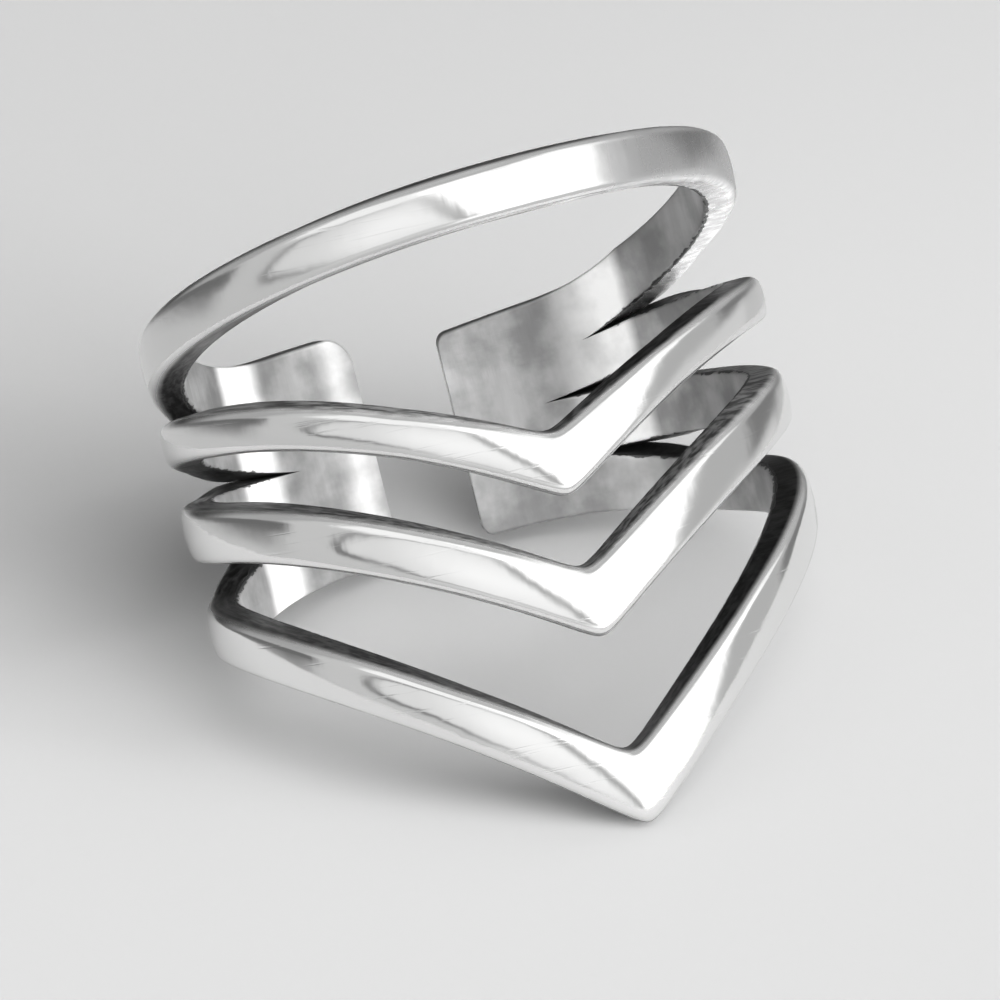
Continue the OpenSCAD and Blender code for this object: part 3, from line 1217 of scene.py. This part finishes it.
@dataclass(frozen=True)
class Daylight:
    """Light through a window, wide enough to be soft: its irradiance in W/m2, the angle that it fills,
    its azimuth and its elevation."""

    irradiance: float
    width_a: float
    turn: float
    rise: float

    def make(self) -> bpy.types.Object:
        """Makes the light.

        Returns:
            The light, which the silver doesn't mirror: the surroundings hold its window.
        """
        data = bpy.data.lights.new("daylight", "SUN")
        data.energy = self.irradiance
        data.angle = math.radians(self.width_a)
        light = add_object("daylight", data)
        light.rotation_mode = "QUATERNION"
        light.rotation_quaternion = way_to(self.turn, self.rise).to_track_quat("Z", "Y")
        light.visible_glossy = False
        return light


@dataclass(frozen=True)
class Glow:
    """The light that the bright bore throws down on the floor inside the ring, with its power in W."""

    power: float = 0.00035
    size: Pair = (13.0, 3.0)
    place: Triple = (-2.5, 4.5, 7.0)

    def make(self) -> bpy.types.Object:
        """Makes the light.

        Returns:
            The light, which shows neither to the camera nor in the silver.
        """
        data = bpy.data.lights.new("bore_glow", "AREA")
        data.energy = self.power
        data.shape = "RECTANGLE"
        data.size, data.size_y = (side * MM for side in self.size)
        light = add_object("bore_glow", data)
        light.location = Vector(self.place) * MM
        light.visible_camera = False
        light.visible_glossy = False
        return light


@dataclass
class Studio:
    """A pale floor and soft light: a wide window in front of the ring to its right, a dimmer one to
    its left, and a darker room behind it."""

    near_r: float = 26.0
    far_r: float = 900.0
    floor_sides: int = 128
    floor_z: float = -0.01
    floor: PaleFloor = field(default_factory=PaleFloor)
    room: float = 0.03
    ceiling: float = 0.5
    ceiling_rise: Pair = (30.0, 62.0)
    cards: tuple[Card, ...] = (
        # The walls beside the ring, paler in front than behind, and the floor far from it
        Card((-150, 150), (-9, 70), 0.42, 40),
        Card((-100, 96), (-40, 60), 0.62, 14),
        Card((-200, 200), (-120, -15), 0.6, 18),
        # The ceiling over the windows
        Card((-80, 100), (22, 60), 1.05, 10),
        # Dark things along the walls, and a grey stretch right of the windows
        Card((-165, -95), (-40, 20), 0.16, 6.5, lift=0.21, oval=(-116, -6.6, 36, 7)),
        Card((96, 127), (-16, 5), 0.22, 12),
        Card((58, 96), (-16, 27), 0.5, 13),
        # The far floor on the right, which is lighter
        Card((60, 120), (-70, -18), 0.72, 8),
        # The left window in its dark frame
        Card((-90, 10), (-7.2, 40), 0.13, 3, oval=(-18, -1, 58.6, 30.3)),
        Card((-90, -50), (-20, 20), 0.08, 5, oval=(-71, -2, 6, 5)),
        Card((-90, 6), (-4.6, 40), 0.8, 3, oval=(-18, -1, 55.8, 27.8)),
        Card((-46, 6), (-4.4, 40), 1.1, 34, oval=(-18, -1, 55.6, 27.6)),
        # The right window, and a soft dark bar between the two
        Card((-4, 40), (-12, 50), 1.6, 10, 0.6, 15),
        Card((10, 56), (-12, 50), 1.6, 17, -0.6, 6),
        Card((-10, -3), (-6, 27), 0.4, 8, 0.6, 15),
    )
    windows: tuple[Daylight, ...] = (
        Daylight(14.2, 72.0, 15.0, 10.0),
        Daylight(8.2, 24.0, 30.0, 10.0),
        Daylight(2.3, 28.0, 2.0, 50.0),
        Daylight(2.4, 24.0, 15.0, 22.0),
    )
    glow: Glow = field(default_factory=Glow)

    def make(self) -> None:
        """Makes the floor, the surroundings and the lights."""
        material = self.floor.make()
        self.make_disc("floor_near", 0.0, self.near_r, material)
        self.make_disc("floor_far", self.near_r, self.far_r, material)
        self.make_world()
        for window in self.windows:
            window.make()
        self.glow.make()

    def make_disc(self, name: str, inner_r: float, outer_r: float, material: bpy.types.Material) -> None:
        """Makes a disc of floor, or a wide rim round it that the silver doesn't mirror.

        Args:
            name: the object's name.
            inner_r: radius of the rim's inner edge, or 0 for a disc.
            outer_r: radius of the outer edge.
            material: the floor's finish.
        """
        is_disc = inner_r == 0
        work = bmesh.new()
        bmesh.ops.create_circle(work, cap_ends=is_disc, segments=self.floor_sides, radius=outer_r * MM)
        if not is_disc:
            bmesh.ops.create_circle(work, segments=self.floor_sides, radius=inner_r * MM)
            bmesh.ops.bridge_loops(work, edges=list(work.edges))
        mesh = bpy.data.meshes.new(name)
        work.to_mesh(mesh)
        work.free()
        mesh.materials.append(material)
        floor = add_object(name, mesh)
        floor.visible_glossy = is_disc
        floor.location.z = self.floor_z * MM

    def make_world(self) -> None:
        """Makes the surroundings that the silver reflects: a dim room, its ceiling and the cards."""
        world = bpy.data.worlds.new("studio")
        world.use_nodes = True
        g = Graph(world.node_tree)
        way = g.add("ShaderNodeTexCoord", {}, output="Generated")
        x, y, z = (g.part(way, axis) for axis in "XYZ")
        turn = x.math("ARCTAN2", -1.0 * y) * (180 / math.pi)
        rise = z.math("ARCSINE") * (180 / math.pi)
        light = rise.ease(*self.ceiling_rise, self.room, self.ceiling)
        for card in self.cards:
            light = card.lay(light, turn, rise)
        back = g.add("ShaderNodeBackground", {}, {"Color": grey(1.0), "Strength": light})
        g.add("ShaderNodeOutputWorld", {}, {"Surface": back})
        bpy.context.scene.world = world


@dataclass(frozen=True)
class Camera:
    """The camera, turned about the middle of the ring's bore."""

    azimuth: float = -15.36
    elevation: float = 28.2
    roll: float = -8.21
    distance: float = 340.0
    px_per_mm: float = 31.51
    centre_px: Pair = (481.98, 447.36)
    picture_px: float = 1000.0
    aim: Triple = (0.0, 1.636, 7.373)
    sensor: float = 36.0
    clip: Pair = (10.0, 5000.0)

    def make(self) -> bpy.types.Object:
        """Makes the camera and gives it to the scene.

        Returns:
            The camera.
        """
        turn, roll = math.radians(self.azimuth), math.radians(self.roll)
        back = way_to(self.azimuth, self.elevation)
        level = Vector((math.cos(turn), math.sin(turn), 0))
        upright = back.cross(level)
        right = math.cos(roll) * level + math.sin(roll) * upright
        up = -math.sin(roll) * level + math.cos(roll) * upright
        aside = (self.centre_px[0] - self.picture_px / 2) / self.px_per_mm
        above = -(self.centre_px[1] - self.picture_px / 2) / self.px_per_mm
        eye = Vector(self.aim) + self.distance * back - aside * right - above * up

        data = bpy.data.cameras.new("camera")
        data.sensor_width = self.sensor
        data.lens = self.px_per_mm * self.distance / self.picture_px * self.sensor
        data.clip_start, data.clip_end = (end * MM for end in self.clip)
        camera = add_object("camera", data)
        turned = Matrix((right, up, back)).transposed().to_4x4()
        camera.matrix_world = Matrix.Translation(eye * MM) @ turned
        bpy.context.scene.camera = camera
        return camera


def main() -> None:
    """Builds the camera, the ring and the studio."""
    logging.basicConfig(level=logging.INFO, format="%(name)s: %(message)s")
    bpy.context.scene.view_settings.view_transform = "Standard"
    Camera().make()
    ring = ChevronRing().make()
    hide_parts("ring")
    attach(ring, "root")
    LOG.info("silver_ring: %d faces", len(ring.data.polygons))
    Studio().make()


if __name__ == "__main__":
    main()
